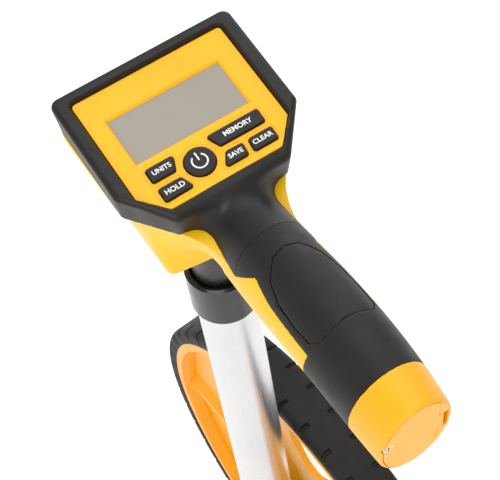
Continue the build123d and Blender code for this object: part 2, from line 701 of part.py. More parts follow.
for name, outline in BUTTONS.items():
    head_nodes[f"button_{name}"] = button(outline, 0, BUTTON_BOTTOM, BUTTON_RISE)

for name, shape in wheel_nodes.items():
    save(name, shape, wheel_plane.location)
for name, shape in pole_nodes.items():
    save(name, shape, hub_location)
for name, shape in stand_nodes.items():
    save(name, shape)
for name, shape in head_nodes.items():
    save(name, shape, head_location)
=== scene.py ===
import json
import math

import bpy
import numpy as np
from mathutils import Matrix, Vector


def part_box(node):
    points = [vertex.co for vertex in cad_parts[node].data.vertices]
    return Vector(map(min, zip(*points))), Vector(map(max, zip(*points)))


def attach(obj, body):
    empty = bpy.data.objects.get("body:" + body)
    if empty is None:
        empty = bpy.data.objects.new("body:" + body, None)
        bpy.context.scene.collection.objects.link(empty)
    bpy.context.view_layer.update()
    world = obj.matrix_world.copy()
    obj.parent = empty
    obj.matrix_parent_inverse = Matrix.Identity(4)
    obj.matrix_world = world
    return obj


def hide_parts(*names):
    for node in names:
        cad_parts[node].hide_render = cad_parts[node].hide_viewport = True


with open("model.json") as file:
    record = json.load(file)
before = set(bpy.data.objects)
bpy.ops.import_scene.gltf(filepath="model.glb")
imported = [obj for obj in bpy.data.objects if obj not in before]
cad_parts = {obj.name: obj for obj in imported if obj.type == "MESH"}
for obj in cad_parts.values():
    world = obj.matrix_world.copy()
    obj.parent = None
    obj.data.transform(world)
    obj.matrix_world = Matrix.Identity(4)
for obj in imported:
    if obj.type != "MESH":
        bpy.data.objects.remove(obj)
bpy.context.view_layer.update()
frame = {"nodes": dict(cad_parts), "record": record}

# ---------------------------------------------------------------- places, from the frame
MM = 0.001
tyre_low, tyre_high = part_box("tyre")
HUB = Vector((0.0, (tyre_low[1] + tyre_high[1]) / 2, (tyre_low[2] + tyre_high[2]) / 2))
HEAD_YAW = math.radians(-4.76)
HEAD = Matrix.Translation((0, 0, HUB.z)) @ Matrix.Rotation(HEAD_YAW, 4, "Z")

# Panel plane in the head's own frame, in millimetres: u up the display, v to the left, h off it.
PANEL_TILT = math.radians(7.6)
PANEL_X, PANEL_Z = -29.6, 451.5
COS_T, SIN_T = math.cos(PANEL_TILT), math.sin(PANEL_TILT)
SPLIT_H = -16.2                 # split between the black and the yellow shell
RIM_RISE = 2.0
PANEL_GAP = 0.35
PANEL_SEAT = -3.2
PANEL_THICKNESS = 2.4
WINDOW_DEPTH = 1.3
SHELL_GAP = 0.35                # yellow shell set in from the black one
SEAM_GAP = 0.12
COVER_X = -58.0                 # where the head shell ends and the grip's cover begins
HOUSING_BOTTOM = 382.0
HOUSING_WALL = 3.0
SOCKET_R, SOCKET_TOP = 12.55, 424.0
CELL_AXIS_Z = 432.5

# Grip: x, height of its axis, half width, half height of the oval.
GRIP_X = np.array([-154.3, -136.3, -120.0, -100.0, -80.0, -60.0, -40.0, -24.0])
GRIP_AXIS = np.array([431.9, 433.5, 434.8, 433.0, 430.0, 427.0, 424.0, 423.0])
GRIP_WIDTH = np.array([15.8, 17.4, 18.0, 18.3, 18.2, 17.6, 17.0, 16.6])
GRIP_HEIGHT = np.array([24.6, 23.0, 22.0, 22.3, 23.0, 23.0, 22.5, 21.5])
GRIP_PITCH = math.radians(5.1)
CAP_LENGTH = 18.0
SKIN = 2.2
PAD_EDGE_RISE = 6.0

PANEL_HALF = [(62.5, 35.35), (11.0, 35.35), (0.0, 25.7)]
SHELL_HALF = [(68.5, 42.5), (15.0, 42.4), (-5.6, 26.2)]
DISPLAY = (25.2, 48.1, -25.4, 26.4)
POWER_CENTRE, POWER_R = (11.8, 5.4), 6.5
KEY_RISE, KEY_BOTTOM = 0.9, -2.9
BUTTONS = {
    "units": [(20.1, 25.8), (20.1, 12.9), (13.5, 15.5), (13.5, 25.8)],
    "hold": [(9.9, 25.9), (9.9, 15.4), (3.7, 12.9), (3.5, 25.9)],
    "memory": [(20.0, -2.4), (20.0, -26.4), (13.3, -26.2), (13.4, -5.2)],
    "save": [(10.0, -5.6), (9.8, -13.0), (3.9, -12.4), (3.9, -1.8)],
    "clear": [(9.9, -15.8), (9.9, -26.6), (3.8, -26.4), (3.8, -15.2)],
}


# ---------------------------------------------------------------- distance fields on the panel
def to_head(u, h):
    """Head frame x and z of a place in the panel's coordinates."""
    return PANEL_X + u * COS_T - h * SIN_T, PANEL_Z + u * SIN_T + h * COS_T


def mirrored(half):
    return half + [(u, -v) for u, v in reversed(half)]


def polygon(a, b, corners):
    """Signed distance in a plane to a polygon, negative inside."""
    points = np.array(corners, dtype=float)
    nearest = np.full(np.broadcast(a, b).shape, 1e9)
    sign = np.ones_like(nearest)
    for (a0, b0), (a1, b1) in zip(points, np.roll(points, 1, axis=0)):
        ea, eb = a1 - a0, b1 - b0
        wa, wb = a - a0, b - b0
        along = np.clip((wa * ea + wb * eb) / (ea * ea + eb * eb), 0, 1)
        nearest = np.minimum(nearest, (wa - ea * along) ** 2 + (wb - eb * along) ** 2)
        above, below, left = b >= b0, b < b1, ea * wb > eb * wa
        flip = (above & below & left) | (~above & ~below & ~left)
        sign = np.where(flip, -sign, sign)
    return sign * np.sqrt(nearest)


def rounded_polygon(a, b, corners, radius):
    """Polygon whose convex corners have a radius."""
    points = np.array(corners, dtype=float)
    centre = points.mean(axis=0)
    inner = []
    count = len(points)
    for index in range(count):
        before, here, after = points[index - 1], points[index], points[(index + 1) % count]
        first = (before - here) / np.linalg.norm(before - here)
        second = (after - here) / np.linalg.norm(after - here)
        bisector = first + second
        bisector /= np.linalg.norm(bisector)
        half = math.acos(float(np.clip(first @ bisector, -1, 1)))
        if bisector @ (centre - here) < 0:
            bisector = -bisector
        inner.append(here + bisector * radius / math.sin(half))
    return polygon(a, b, inner) - radius


def both(first, second, radius=0.0):
    """Intersection, with its edge rounded."""
    if radius <= 0:
        return np.maximum(first, second)
    outside = np.hypot(np.maximum(first + radius, 0), np.maximum(second + radius, 0))
    return np.minimum(np.maximum(first, second), -radius) + outside


def blend(first, second, reach):
    """Union that flows from one body into the other over a reach."""
    share = np.clip(0.5 + 0.5 * (second - first) / reach, 0, 1)
    return second * (1 - share) + first * share - reach * share * (1 - share)


def along_grip(x, values):
    """Smooth run of a station value along the grip."""
    fit = np.polynomial.Polynomial.fit(GRIP_X, values, 5)
    return fit(np.clip(x, GRIP_X[0] - 3, GRIP_X[-1] + 1))


def grip(u, v, h, inset=0.0):
    """Grip as upright ovals along its length."""
    x, z = to_head(u, h)
    axis = along_grip(x, GRIP_AXIS)
    width = along_grip(x, GRIP_WIDTH) - inset
    height = along_grip(x, GRIP_HEIGHT) - inset
    across, upward = v / width, (z - axis) / height
    reach = np.sqrt(across ** 2 + upward ** 2)
    slope = np.sqrt((across / width) ** 2 + (upward / height) ** 2) + 1e-9
    return reach * (reach - 1) / slope


def past_face(u, h):
    """Distance beyond the grip's end face."""
    x, z = to_head(u, h)
    return -(x - GRIP_X[0]) * math.cos(GRIP_PITCH) - (z - GRIP_AXIS[0]) * math.sin(GRIP_PITCH)


def display_block(u, v, h):
    """Upper part of the head round the display, with the raised rim."""
    draft = 0.1 * np.minimum(h, 0)
    plan = rounded_polygon(u, v, mirrored(SHELL_HALF), 4.0) - draft
    top = both(h - RIM_RISE, (h - 0.27 * u) * 0.96, 1.0)
    return both(plan, top, 2.6)


def whole_grip(u, v, h):
    """Grip closed at its end face and cut off inside the head."""
    x, _ = to_head(u, h)
    body = both(grip(u, v, h), past_face(u, h), 1.6)
    return both(body, x + 6.0, 4.0)


def upper_body(u, v, h):
    return blend(display_block(u, v, h), whole_grip(u, v, h), 11.0)


def wedge(u, v, h):
    """Yellow body below the split: two-stage taper, its rear corners turning into the keel."""
    x, z = to_head(u, h)
    side = np.abs(v)
    half = np.interp(z, [380.0, 388.4, 423.4, 437.6, 445.0], [27.6, 29.3, 34.6, 41.2, 42.0])
    front = np.interp(z, [380.0, 388.4, 423.4, 437.6, 446.0], [27.0, 28.5, 33.5, 38.8, 40.2])
    corner_x = np.interp(z, [380.0, 423.4, 437.6], [-14.2, -14.0, -12.0])
    turn = np.radians(np.interp(z, [384.0, 400.0, 425.0, 437.6], [8.0, 14.0, 40.0, 53.0]))
    rear = -(x - corner_x) * np.cos(turn) + (side - half) * np.sin(turn)
    plan = both(both(side - half, x - front, 6.0), rear, 3.5)
    return both(plan, HOUSING_BOTTOM - z, 3.5)


def lower_body(u, v, h):
    return blend(wedge(u, v, h), whole_grip(u, v, h), 16.0)


STRIP = [
    (-17, 388), (-30, 402), (-65, 414), (-90, 420), (-106.5, 424), (-110, 443),
    (-83, 441.3), (-70, 442.5), (-58, 431.3), (-17, 437),
]
HALF_PAD = [
    (-69.5, 0), (-71.0, 6.0), (-77.5, 11.4), (-86.5, 13.8),
    (-98, 14.6), (-108, 14.4), (-112, 11.8), (-111.2, 0),
]
PAD = HALF_PAD + [(x, -v) for x, v in reversed(HALF_PAD[1:-1])]


def strip_region(u, h):
    """Distance, from the side, to the grip's yellow strip; the head counts as inside."""
    x, z = to_head(u, h)
    ahead = both(-(x + 24.0), h - SPLIT_H)
    return np.minimum(polygon(x, z, STRIP), ahead)


def pad_region(u, v, h):
    """Distance, seen from above, to the soft pad on top of the grip."""
    x, z = to_head(u, h)
    axis = along_grip(x, GRIP_AXIS)
    return both(rounded_polygon(x, v, PAD, 2.5), axis + PAD_EDGE_RISE - z)


def seam(u, h):
    """Distance beyond the seam between the grip and its end cap."""
    return past_face(u, h) + CAP_LENGTH


def head_shell_field(u, v, h):
    body = both(upper_body(u, v, h), SPLIT_H + 0.05 - h)
    x, _ = to_head(u, h)
    panel = rounded_polygon(u, v, mirrored(PANEL_HALF), 2.0)
    pocket = both(panel - PANEL_GAP - 0.35 * np.maximum(h, 0), PANEL_SEAT - h)
    body = both(body, -pocket, 0.5)
    body = both(body, -both(plan_room(u, v), h + 5.0))
    body = both(body, -both(panel + 1.6, h + 3.0))
    body = both(body, SEAM_GAP - strip_region(u, h))
    return both(both(body, -grip(u, v, h, SKIN)), COVER_X - x)


def plan_room(u, v):
    """Room inside the upper shell, seen square to the display."""
    return rounded_polygon(u, v, mirrored([(66, 39.2), (14.5, 38.2), (3, 28)]), 3.0)


def grip_cover_field(u, v, h):
    x, _ = to_head(u, h)
    body = both(upper_body(u, v, h), -grip(u, v, h, SKIN))
    below = both(lower_body(u, v, h), -grip(u, v, h, SKIN))
    body = np.minimum(both(body, x - COVER_X + SEAM_GAP), both(below, both(x + 17.0, h - SPLIT_H)))
    body = both(body, SEAM_GAP - strip_region(u, h))
    body = both(body, 0.14 - pad_region(u, v, h), 0.3)
    return both(body, seam(u, h) + 0.1, 0.3)


def grip_pad_field(u, v, h):
    body = both(grip(u, v, h) + 0.15, pad_region(u, v, h), 0.5)
    return both(body, -grip(u, v, h, SKIN))


def lower_housing_field(u, v, h):
    x, z = to_head(u, h)
    under_head = both(both(lower_body(u, v, h) + SHELL_GAP, h - SPLIT_H), strip_region(u, h))
    strips = both(both(grip(u, v, h), polygon(x, z, STRIP)), x + 46.0)
    core = both(both(grip(u, v, h, SKIN + 0.1), seam(u, h)), x + 20.0)
    body = np.minimum(np.minimum(under_head, strips), core)
    room = both(wedge(u, v, h) + HOUSING_WALL, h - SPLIT_H - 1)
    room = both(room, -(x + 13.0))
    pole = np.hypot(x, v) - 16.0
    room = both(room, -pole)
    body = both(body, -room)
    return both(body, -both(np.hypot(x, v) - SOCKET_R, z - SOCKET_TOP))


def end_cap_field(u, v, h):
    x, z = to_head(u, h)
    body = both(both(grip(u, v, h), past_face(u, h), 1.6), -seam(u, h), 0.3)
    across, upward, depth = -v, cap_height(x, z), past_face(u, h)
    oval = door_oval(across, upward, 0.25)
    door = both(oval, -depth - 2.0)
    tabs = both(np.maximum(np.abs(upward) - 6.3, np.abs(across - 11.15) - 2.75), -depth - 2.8)
    screw = both(np.hypot(across + 12.4, upward - 4.5) - 2.5, -depth - 2.0)
    slot = both(np.maximum(np.abs(v) - 5.75, np.abs(z - CELL_AXIS_Z) - 16.8), x + 101.0)
    for hollow in (door, tabs, screw, slot):
        body = both(body, -hollow)
    return body


def cap_height(x, z):
    """Height in the end face's plane, from its middle."""
    return -(x - GRIP_X[0]) * math.sin(GRIP_PITCH) + (z - GRIP_AXIS[0]) * math.cos(GRIP_PITCH)


def door_oval(across, upward, grow):
    """Oval of the battery door, cut straight beside its hinge."""
    width, height = 14.4 + grow, 23.0 + grow
    reach = np.sqrt((across / width) ** 2 + (upward / height) ** 2)
    slope = np.sqrt((across / width ** 2) ** 2 + (upward / height ** 2) ** 2) + 1e-9
    return both(reach * (reach - 1) / slope, across - 9.4 - grow)


def fascia_field(u, v, h):
    outline = rounded_polygon(u, v, mirrored(PANEL_HALF), 2.0)
    plate = both(outline, both(h, -PANEL_THICKNESS - h), 0.35)
    low_u, high_u, low_v, high_v = DISPLAY
    window = np.maximum(np.maximum(low_u - u, u - high_u), np.maximum(low_v - v, v - high_v))
    plate = both(plate, -(window - np.maximum(h + WINDOW_DEPTH, 0) * 0.9), 0.2)
    plate = both(plate, -both(window - 1.5, h + WINDOW_DEPTH))
    for corners in BUTTONS.values():
        outline = rounded_polygon(u, v, corners, 1.0)
        plate = both(plate, -both(outline - 1.5, -0.3 - h, 0.15), 0.15)
        plate = both(plate, 0.3 - outline)
    outline = np.hypot(u - POWER_CENTRE[0], v - POWER_CENTRE[1]) - POWER_R
    plate = both(plate, -both(outline - 1.7, -0.3 - h, 0.15), 0.15)
    return both(plate, 0.3 - outline)


# ---------------------------------------------------------------- mesh from a field
def contour(field, low, high, step):
    """Closed quad mesh of field = 0, with its sharp edges kept, as vertices and faces."""
    axes = [np.arange(a, b + step, step) for a, b in zip(low, high)]
    u, v, h = axes[0][:, None, None], axes[1][None, :, None], axes[2][None, None, :]
    values = np.broadcast_to(field(u, v, h), [len(a) for a in axes])
    shape = np.array(values.shape)
    strides = np.array([shape[1] * shape[2], shape[2], 1])
    inside = values < 0
    crossings = []
    for axis in range(3):
        near = [slice(None)] * 3
        far = [slice(None)] * 3
        near[axis], far[axis] = slice(0, -1), slice(1, None)
        flips = inside[tuple(near)] != inside[tuple(far)]
        for other in range(3):
            if other != axis:
                edge = [slice(None)] * 3
                edge[other] = [0, shape[other] - 1]
                flips[tuple(edge)] = False
        index = np.argwhere(flips)
        first = values[tuple(near)][flips]
        second = values[tuple(far)][flips]
        point = np.stack([axes[k][index[:, k]] for k in range(3)], axis=1)
        point[:, axis] += step * first / (first - second)
        crossings.append((axis, index, point, first < 0))
    points = np.concatenate([c[2] for c in crossings])
    normals = gradient(field, points, step * 0.05)
    cells, users, quads, start = [], [], [], 0
    for axis, index, point, leaving in crossings:
        one, two = (axis + 1) % 3, (axis + 2) % 3
        ring = []
        for shift_one, shift_two in ((0, 0), (1, 0), (1, 1), (0, 1)):
            cell = index.copy()
            cell[:, one] -= shift_one
            cell[:, two] -= shift_two
            ring.append(cell @ strides)
        ring = np.stack(ring, axis=1)
        ring[~leaving] = ring[~leaving][:, ::-1]
        quads.append(ring)
        cells.append(ring.ravel())
        users.append(np.repeat(np.arange(start, start + len(index)), 4))
        start += len(index)
    cells, users = np.concatenate(cells), np.concatenate(users)
    names, cell_index = np.unique(cells, return_inverse=True)
    verts = solve_cells(points, normals, users, cell_index, len(names))
    corner = np.stack([axes[k][(names // strides[k]) % shape[k]] for k in range(3)], axis=1)
    verts = np.clip(verts, corner - 0.15 * step, corner + 1.15 * step)
    faces = np.searchsorted(names, np.concatenate(quads))
    return verts, faces


def gradient(field, points, reach):
    """Unit slope of a field at loose points."""
    slopes = []
    for axis in range(3):
        ahead, behind = points.copy(), points.copy()
        ahead[:, axis] += reach
        behind[:, axis] -= reach
        slopes.append(field(*ahead.T) - field(*behind.T))
    slopes = np.stack(slopes, axis=1)
    return slopes / (np.linalg.norm(slopes, axis=1, keepdims=True) + 1e-12)


def solve_cells(points, normals, users, cell_index, count):
    """One vertex per cell, where the planes through its crossings meet."""
    number = np.bincount(cell_index, minlength=count)[:, None]
    centre = np.stack(
        [np.bincount(cell_index, points[users, k], minlength=count) for k in range(3)], axis=1
    ) / number
    normal = normals[users]
    lift = np.einsum("ij,ij->i", normal, points[users] - centre[cell_index])
    matrix = np.zeros((count, 3, 3))
    target = np.zeros((count, 3))
    for row in range(3):
        target[:, row] = np.bincount(cell_index, normal[:, row] * lift, minlength=count)
        for column in range(3):
            matrix[:, row, column] = np.bincount(
                cell_index, normal[:, row] * normal[:, column], minlength=count
            )
    matrix += np.eye(3) * 0.06 * number[:, :, None]
    return centre + np.linalg.solve(matrix, target[:, :, None])[:, :, 0]


def make_mesh(name, verts, faces, material, sharp=32.0):
    """Object from vertices in metres, smooth but for its sharp edges."""
    mesh = bpy.data.meshes.new(name)
    mesh.from_pydata([tuple(p) for p in verts], [], [tuple(int(i) for i in f) for f in faces])
    mesh.validate()
    mesh.shade_smooth()
    mesh.set_sharp_from_angle(angle=math.radians(sharp))
    mesh.materials.append(material)
    piece = bpy.data.objects.new(name, mesh)
    bpy.context.scene.collection.objects.link(piece)
    return piece


def head_points(points):
    """Panel coordinates in millimetres to the row frame in metres."""
    u, v, h = points.T
    x, z = to_head(u, h)
    local = np.stack([x, v, z], axis=1) * MM
    rotation = np.array(HEAD.to_3x3())
    return local @ rotation.T + np.array(HEAD.translation)


def field_piece(name, field, low, high, step, material, body, node, sharp=32.0):
    verts, faces = contour(field, low, high, step)
    piece = make_mesh(name, head_points(verts), faces, material, sharp)
    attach(piece, body)
    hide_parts(node)
    return piece


# ---------------------------------------------------------------- materials
class Nodes:
    """Short way to build one node material."""

    def __init__(self, name):
        self.material = bpy.data.materials.new(name)
        self.material.use_nodes = True
        self.tree = self.material.node_tree
        self.shader = self.tree.nodes["Principled BSDF"]
        self.place = self.add("ShaderNodeTexCoord").outputs["Object"]

    def add(self, kind, **settings):
        node = self.tree.nodes.new(kind)
        for key, value in settings.items():
            setattr(node, key, value)
        return node

    def link(self, source, target):
        self.tree.links.new(source, target)

    def noise(self, scale, detail=3.0, stretch=(1, 1, 1)):
        """Noise texture in metres, stretched along an axis if asked."""
        mapping = self.add("ShaderNodeMapping")
        mapping.inputs["Scale"].default_value = stretch
        self.link(self.place, mapping.inputs["Vector"])
        texture = self.add("ShaderNodeTexNoise")
        texture.inputs["Scale"].default_value = scale
        texture.inputs["Detail"].default_value = detail
        self.link(mapping.outputs["Vector"], texture.inputs["Vector"])
        return texture.outputs["Fac"]

    def spread(self, factor, low, high, from_low=0.3, from_high=0.7):
        """A factor mapped to a range."""
        node = self.add("ShaderNodeMapRange")
        self.link(factor, node.inputs["Value"])
        for name, value in (
            ("From Min", from_low), ("From Max", from_high), ("To Min", low), ("To Max", high),
        ):
            node.inputs[name].default_value = value
        return node.outputs["Result"]

    def two_tone(self, factor, first, second):
        node = self.add("ShaderNodeMix", data_type="RGBA")
        self.link(factor, node.inputs["Factor"])
        node.inputs["A"].default_value = (*first, 1)
        node.inputs["B"].default_value = (*second, 1)
        return node.outputs["Result"]

    def bump(self, height, depth, strength):
        node = self.add("ShaderNodeBump")
        node.inputs["Distance"].default_value = depth
        node.inputs["Strength"].default_value = strength
        self.link(height, node.inputs["Height"])
        return node.outputs["Normal"]

    def edges(self):
        """Worn convex edges, as a factor."""
        geometry = self.add("ShaderNodeNewGeometry")
        return self.spread(geometry.outputs["Pointiness"], 0.0, 1.0, 0.53, 0.62)


def tint(colour, factor):
    return tuple(min(1.0, c * factor) for c in colour)


def moulded(
    name, colour, roughness, grain=2600.0, depth=0.00004, wear=0.25, specular=0.5, coat=0.0
):
    """Moulded plastic or rubber: colour drift, fine grain, uneven gloss and rubbed edges."""
    made = Nodes(name)
    drift = made.noise(22.0, 4.0)
    base = made.two_tone(made.spread(drift, 0, 1), tint(colour, 0.955), tint(colour, 1.03))
    worn = made.add("ShaderNodeMix", data_type="RGBA")
    rubbed = made.spread(made.noise(420.0, 4.0), 0.0, wear, 0.35, 0.75)
    share = made.add("ShaderNodeMath", operation="MULTIPLY")
    made.link(made.edges(), share.inputs[0])
    made.link(rubbed, share.inputs[1])
    made.link(share.outputs[0], worn.inputs["Factor"])
    made.link(base, worn.inputs["A"])
    worn.inputs["B"].default_value = (*tuple(c * 0.7 + 0.22 for c in colour), 1)
    made.link(worn.outputs["Result"], made.shader.inputs["Base Color"])
    gloss = made.spread(made.noise(130.0, 5.0), roughness - 0.05, roughness + 0.06)
    made.link(gloss, made.shader.inputs["Roughness"])
    made.link(made.bump(made.noise(grain, 2.0), depth, 0.6), made.shader.inputs["Normal"])
    made.shader.inputs["Specular IOR Level"].default_value = specular
    made.shader.inputs["Coat Weight"].default_value = coat
    made.shader.inputs["Coat Roughness"].default_value = 0.12
    return made.material


def metal(name, colour, roughness, stretch=(1, 1, 1), scale=900.0, depth=0.000015):
    """Metal with fine lines or grain and slight smudges."""
    made = Nodes(name)
    lines = made.noise(scale, 3.0, stretch)
    smudge = made.spread(made.noise(35.0, 4.0), 0, 1)
    tone = made.two_tone(smudge, tint(colour, 0.95), tint(colour, 1.02))
    made.link(tone, made.shader.inputs["Base Color"])
    gloss = made.spread(lines, roughness - 0.05, roughness + 0.07)
    made.link(gloss, made.shader.inputs["Roughness"])
    made.link(made.bump(lines, depth, 0.4), made.shader.inputs["Normal"])
    made.shader.inputs["Metallic"].default_value = 1.0
    return made.material


def display_material():
    """Blank reflective display: grey-brown, with a faint random drift of tone and a fine bumped
    grain.
    """
    made = moulded("display_glass", (0.29, 0.26, 0.21), 0.2, grain=5200.0, depth=0.000006, wear=0.0)
    made.node_tree.nodes["Principled BSDF"].inputs["Coat Weight"].default_value = 0.35
    made.node_tree.nodes["Principled BSDF"].inputs["Coat Roughness"].default_value = 0.08
    return made


MATERIALS = {
    "rim_plastic": moulded("rim_plastic", (0.97, 0.42, 0.002), 0.34, wear=0.12, specular=0.3),
    "tyre_rubber": moulded(
        "tyre_rubber", (0.0125, 0.0115, 0.0105), 0.6,
        grain=1500.0, depth=0.00006, wear=0.4, specular=0.3,
    ),
    "bearing_steel": metal("bearing_steel", (0.6, 0.6, 0.61), 0.3),
    "magnet_nickel": metal("magnet_nickel", (0.65, 0.64, 0.6), 0.25),
    "black_plastic": moulded(
        "black_plastic", (0.0135, 0.0125, 0.0115), 0.44, wear=0.1, specular=0.32,
    ),
    "zinc_steel": metal("zinc_steel", (0.62, 0.63, 0.64), 0.34),
    "circuit_green": moulded("circuit_green", (0.01, 0.11, 0.04), 0.4),
    "tube_aluminium": metal(
        "tube_aluminium", (0.68, 0.69, 0.705), 0.3,
        stretch=(1, 1, 0.01), scale=5000.0, depth=0.000004,
    ),
    "tube_black": moulded("tube_black", (0.006, 0.006, 0.0065), 0.3, wear=0.1),
    "collar_plastic": moulded(
        "collar_plastic", (0.004, 0.0038, 0.0036), 0.24,
        wear=0.05, specular=0.4, coat=0.1,
    ),
    "slide_plastic": moulded("slide_plastic", (0.6, 0.6, 0.55), 0.45),
    "stand_wire": metal("stand_wire", (0.7, 0.7, 0.72), 0.22, stretch=(0.05, 1, 1)),
    "rubber_black": moulded(
        "rubber_black", (0.0135, 0.0125, 0.0115), 0.5,
        grain=1900.0, depth=0.00005, wear=0.1, specular=0.3,
    ),
    "housing_yellow": moulded("housing_yellow", (1.0, 0.57, 0.002), 0.38, wear=0.1, specular=0.3),
    "panel_yellow": moulded("panel_yellow", (1.0, 0.5, 0.016), 0.46, wear=0.1, specular=0.3),
    "display_glass": display_material(),
    "lcd_grey": moulded("lcd_grey", (0.34, 0.31, 0.25), 0.4),
    "cap_yellow": moulded("cap_yellow", (1.0, 0.46, 0.008), 0.4, wear=0.1, specular=0.35),
    "cell_jacket": moulded("cell_jacket", (0.04, 0.08, 0.2), 0.3),
    "contact_nickel": metal("contact_nickel", (0.6, 0.58, 0.54), 0.3),
    "screw_steel": metal("screw_steel", (0.7, 0.7, 0.72), 0.24),
    "label_white": moulded("label_white", (0.86, 0.86, 0.84), 0.5, wear=0.0),
}


def dress_frame():
    """Gives every carried-over CAD node the material of its own slot."""
    for subpart in frame["record"]["subparts"]:
        node = frame["nodes"][subpart["node"]]
        material = MATERIALS[subpart["material_slot"]]
        node.data.materials.clear()
        node.data.materials.append(material)


# ---------------------------------------------------------------- head
def make_head():
    shell = field_piece(
        "upper_shell", head_shell_field, (-34.0, -45.0, -18.5), (71.0, 45.0, 7.0), 0.75,
        MATERIALS["black_plastic"], "head", "head_shell",
    )
    cover = field_piece(
        "grip_rubber", grip_cover_field, (-124.0, -22.0, -50.0), (14.0, 22.0, 24.0), 0.75,
        MATERIALS["rubber_black"], "head", "grip_cover",
    )
    pad = field_piece(
        "grip_top_pad", grip_pad_field, (-90.0, -17.0, -6.0), (-26.0, 17.0, 24.0), 0.7,
        MATERIALS["rubber_black"], "head", "grip_pad",
    )
    lower = field_piece(
        "lower_shell", lower_housing_field, (-118.0, -44.0, -78.0), (71.0, 44.0, 20.0), 0.9,
        MATERIALS["housing_yellow"], "head", "lower_housing",
    )
    cap = field_piece(
        "grip_end_cap", end_cap_field, (-130.0, -20.0, -42.0), (-100.0, 20.0, 24.0), 0.6,
        MATERIALS["cap_yellow"], "head", "end_cap",
    )
    fascia = field_piece(
        "display_fascia", fascia_field, (-1.2, -37.2, -3.4), (64.5, 37.2, 1.0), 0.5,
        MATERIALS["panel_yellow"], "head", "fascia_panel",
    )


def on_panel(u, v, h):
    """Placement on the panel with x to the reader's right, y up the display and z off it."""
    x, z = to_head(u, h)
    axes = Matrix(((0, COS_T, -SIN_T), (-1, 0, 0), (0, SIN_T, COS_T))).to_4x4()
    return HEAD @ Matrix.Translation((x * MM, v * MM, z * MM)) @ axes


def make_button(name, corners):
    """Key with a softly rounded edge, in place of the plain one."""
    if corners is None:
        def outline(u, v):
            return np.hypot(u - POWER_CENTRE[0], v - POWER_CENTRE[1]) - POWER_R
        low = (POWER_CENTRE[0] - POWER_R - 1, POWER_CENTRE[1] - POWER_R - 1)
        high = (POWER_CENTRE[0] + POWER_R + 1, POWER_CENTRE[1] + POWER_R + 1)
    else:
        def outline(u, v):
            return rounded_polygon(u, v, corners, 1.0)
        low = tuple(min(c[k] for c in corners) - 1 for k in range(2))
        high = tuple(max(c[k] for c in corners) + 1 for k in range(2))

    def field(u, v, h):
        return both(outline(u, v), both(h - KEY_RISE, KEY_BOTTOM - h), 0.45)

    key = field_piece(
        f"key_{name}", field, (*low, -3.6), (*high, KEY_RISE + 0.8), 0.4,
        MATERIALS["black_plastic"], f"{name}_button", f"button_{name}",
    )


def make_label(name, word, u, v, size):
    """Raised lettering of a key's plain function word."""
    curve = bpy.data.curves.new(f"word_{name}", "FONT")
    curve.body = word
    curve.size = size * MM
    curve.align_x, curve.align_y = "CENTER", "CENTER"
    curve.offset = 0.07 * MM
    curve.extrude = 0.03 * MM
    draft = bpy.data.objects.new(f"draft_{name}", curve)
    bpy.context.scene.collection.objects.link(draft)
    mesh = bpy.data.meshes.new_from_object(draft)
    bpy.data.objects.remove(draft)
    mesh.transform(on_panel(u, v, KEY_RISE + 0.03))
    mesh.materials.clear()
    mesh.materials.append(MATERIALS["label_white"])
    label = bpy.data.objects.new(f"label_{name}", mesh)
    bpy.context.scene.collection.objects.link(label)
    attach(label, f"{name}_button")


def make_power_mark():
    """Standard on-off mark: an open ring with a bar through its gap."""
    u0, v0 = POWER_CENTRE
    radius, half, gap = 3.2, 0.33, math.radians(38)
    verts, faces = [], []
    steps = 48
    for index in range(steps + 1):
        angle = gap + (2 * math.pi - 2 * gap) * index / steps
        for reach in (radius - half, radius + half):
            verts.append((reach * math.sin(angle), reach * math.cos(angle)))
    for index in range(steps):
        faces.append((2 * index, 2 * index + 2, 2 * index + 3, 2 * index + 1))
    start = len(verts)
    verts += [(-half, 0.4), (half, 0.4), (half, 4.2), (-half, 4.2)]
    faces.append((start, start + 1, start + 2, start + 3))
    placed = on_panel(u0, v0, KEY_RISE)
    thick = 0.06
    both_sides = [(x, y, 0.0) for x, y in verts] + [(x, y, thick) for x, y in verts]
    count = len(verts)
    solid = [tuple(reversed(f)) for f in faces] + [tuple(i + count for i in f) for f in faces]
    borders = {}
    for face in faces:
        for a, b in zip(face, face[1:] + face[:1]):
            if (b, a) in borders:
                del borders[(b, a)]
            else:
                borders[(a, b)] = True
    solid += [(a, b, b + count, a + count) for a, b in borders]
    points = [tuple(placed @ (Vector(p) * MM)) for p in both_sides]
    mark = make_mesh("label_power", points, solid, MATERIALS["label_white"], 30.0)
    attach(mark, "power_button")


def make_keys():
    for name, corners in BUTTONS.items():
        make_button(name, corners)
    make_button("power", None)
    make_power_mark()
    words = {
        "units": ("UNITS", 16.9, 19.9, 3.0), "hold": ("HOLD", 6.7, 19.9, 3.2),
        "memory": ("MEMORY", 16.7, -15.2, 3.2), "save": ("SAVE", 6.9, -8.2, 3.0),
        "clear": ("CLEAR", 6.9, -20.8, 3.0),
    }
    for name, (word, u, v, size) in words.items():
        make_label(name, word, u, v, size)


# ---------------------------------------------------------------- tyre
BLOCKS = 50
BLOCK_STEPS = 24


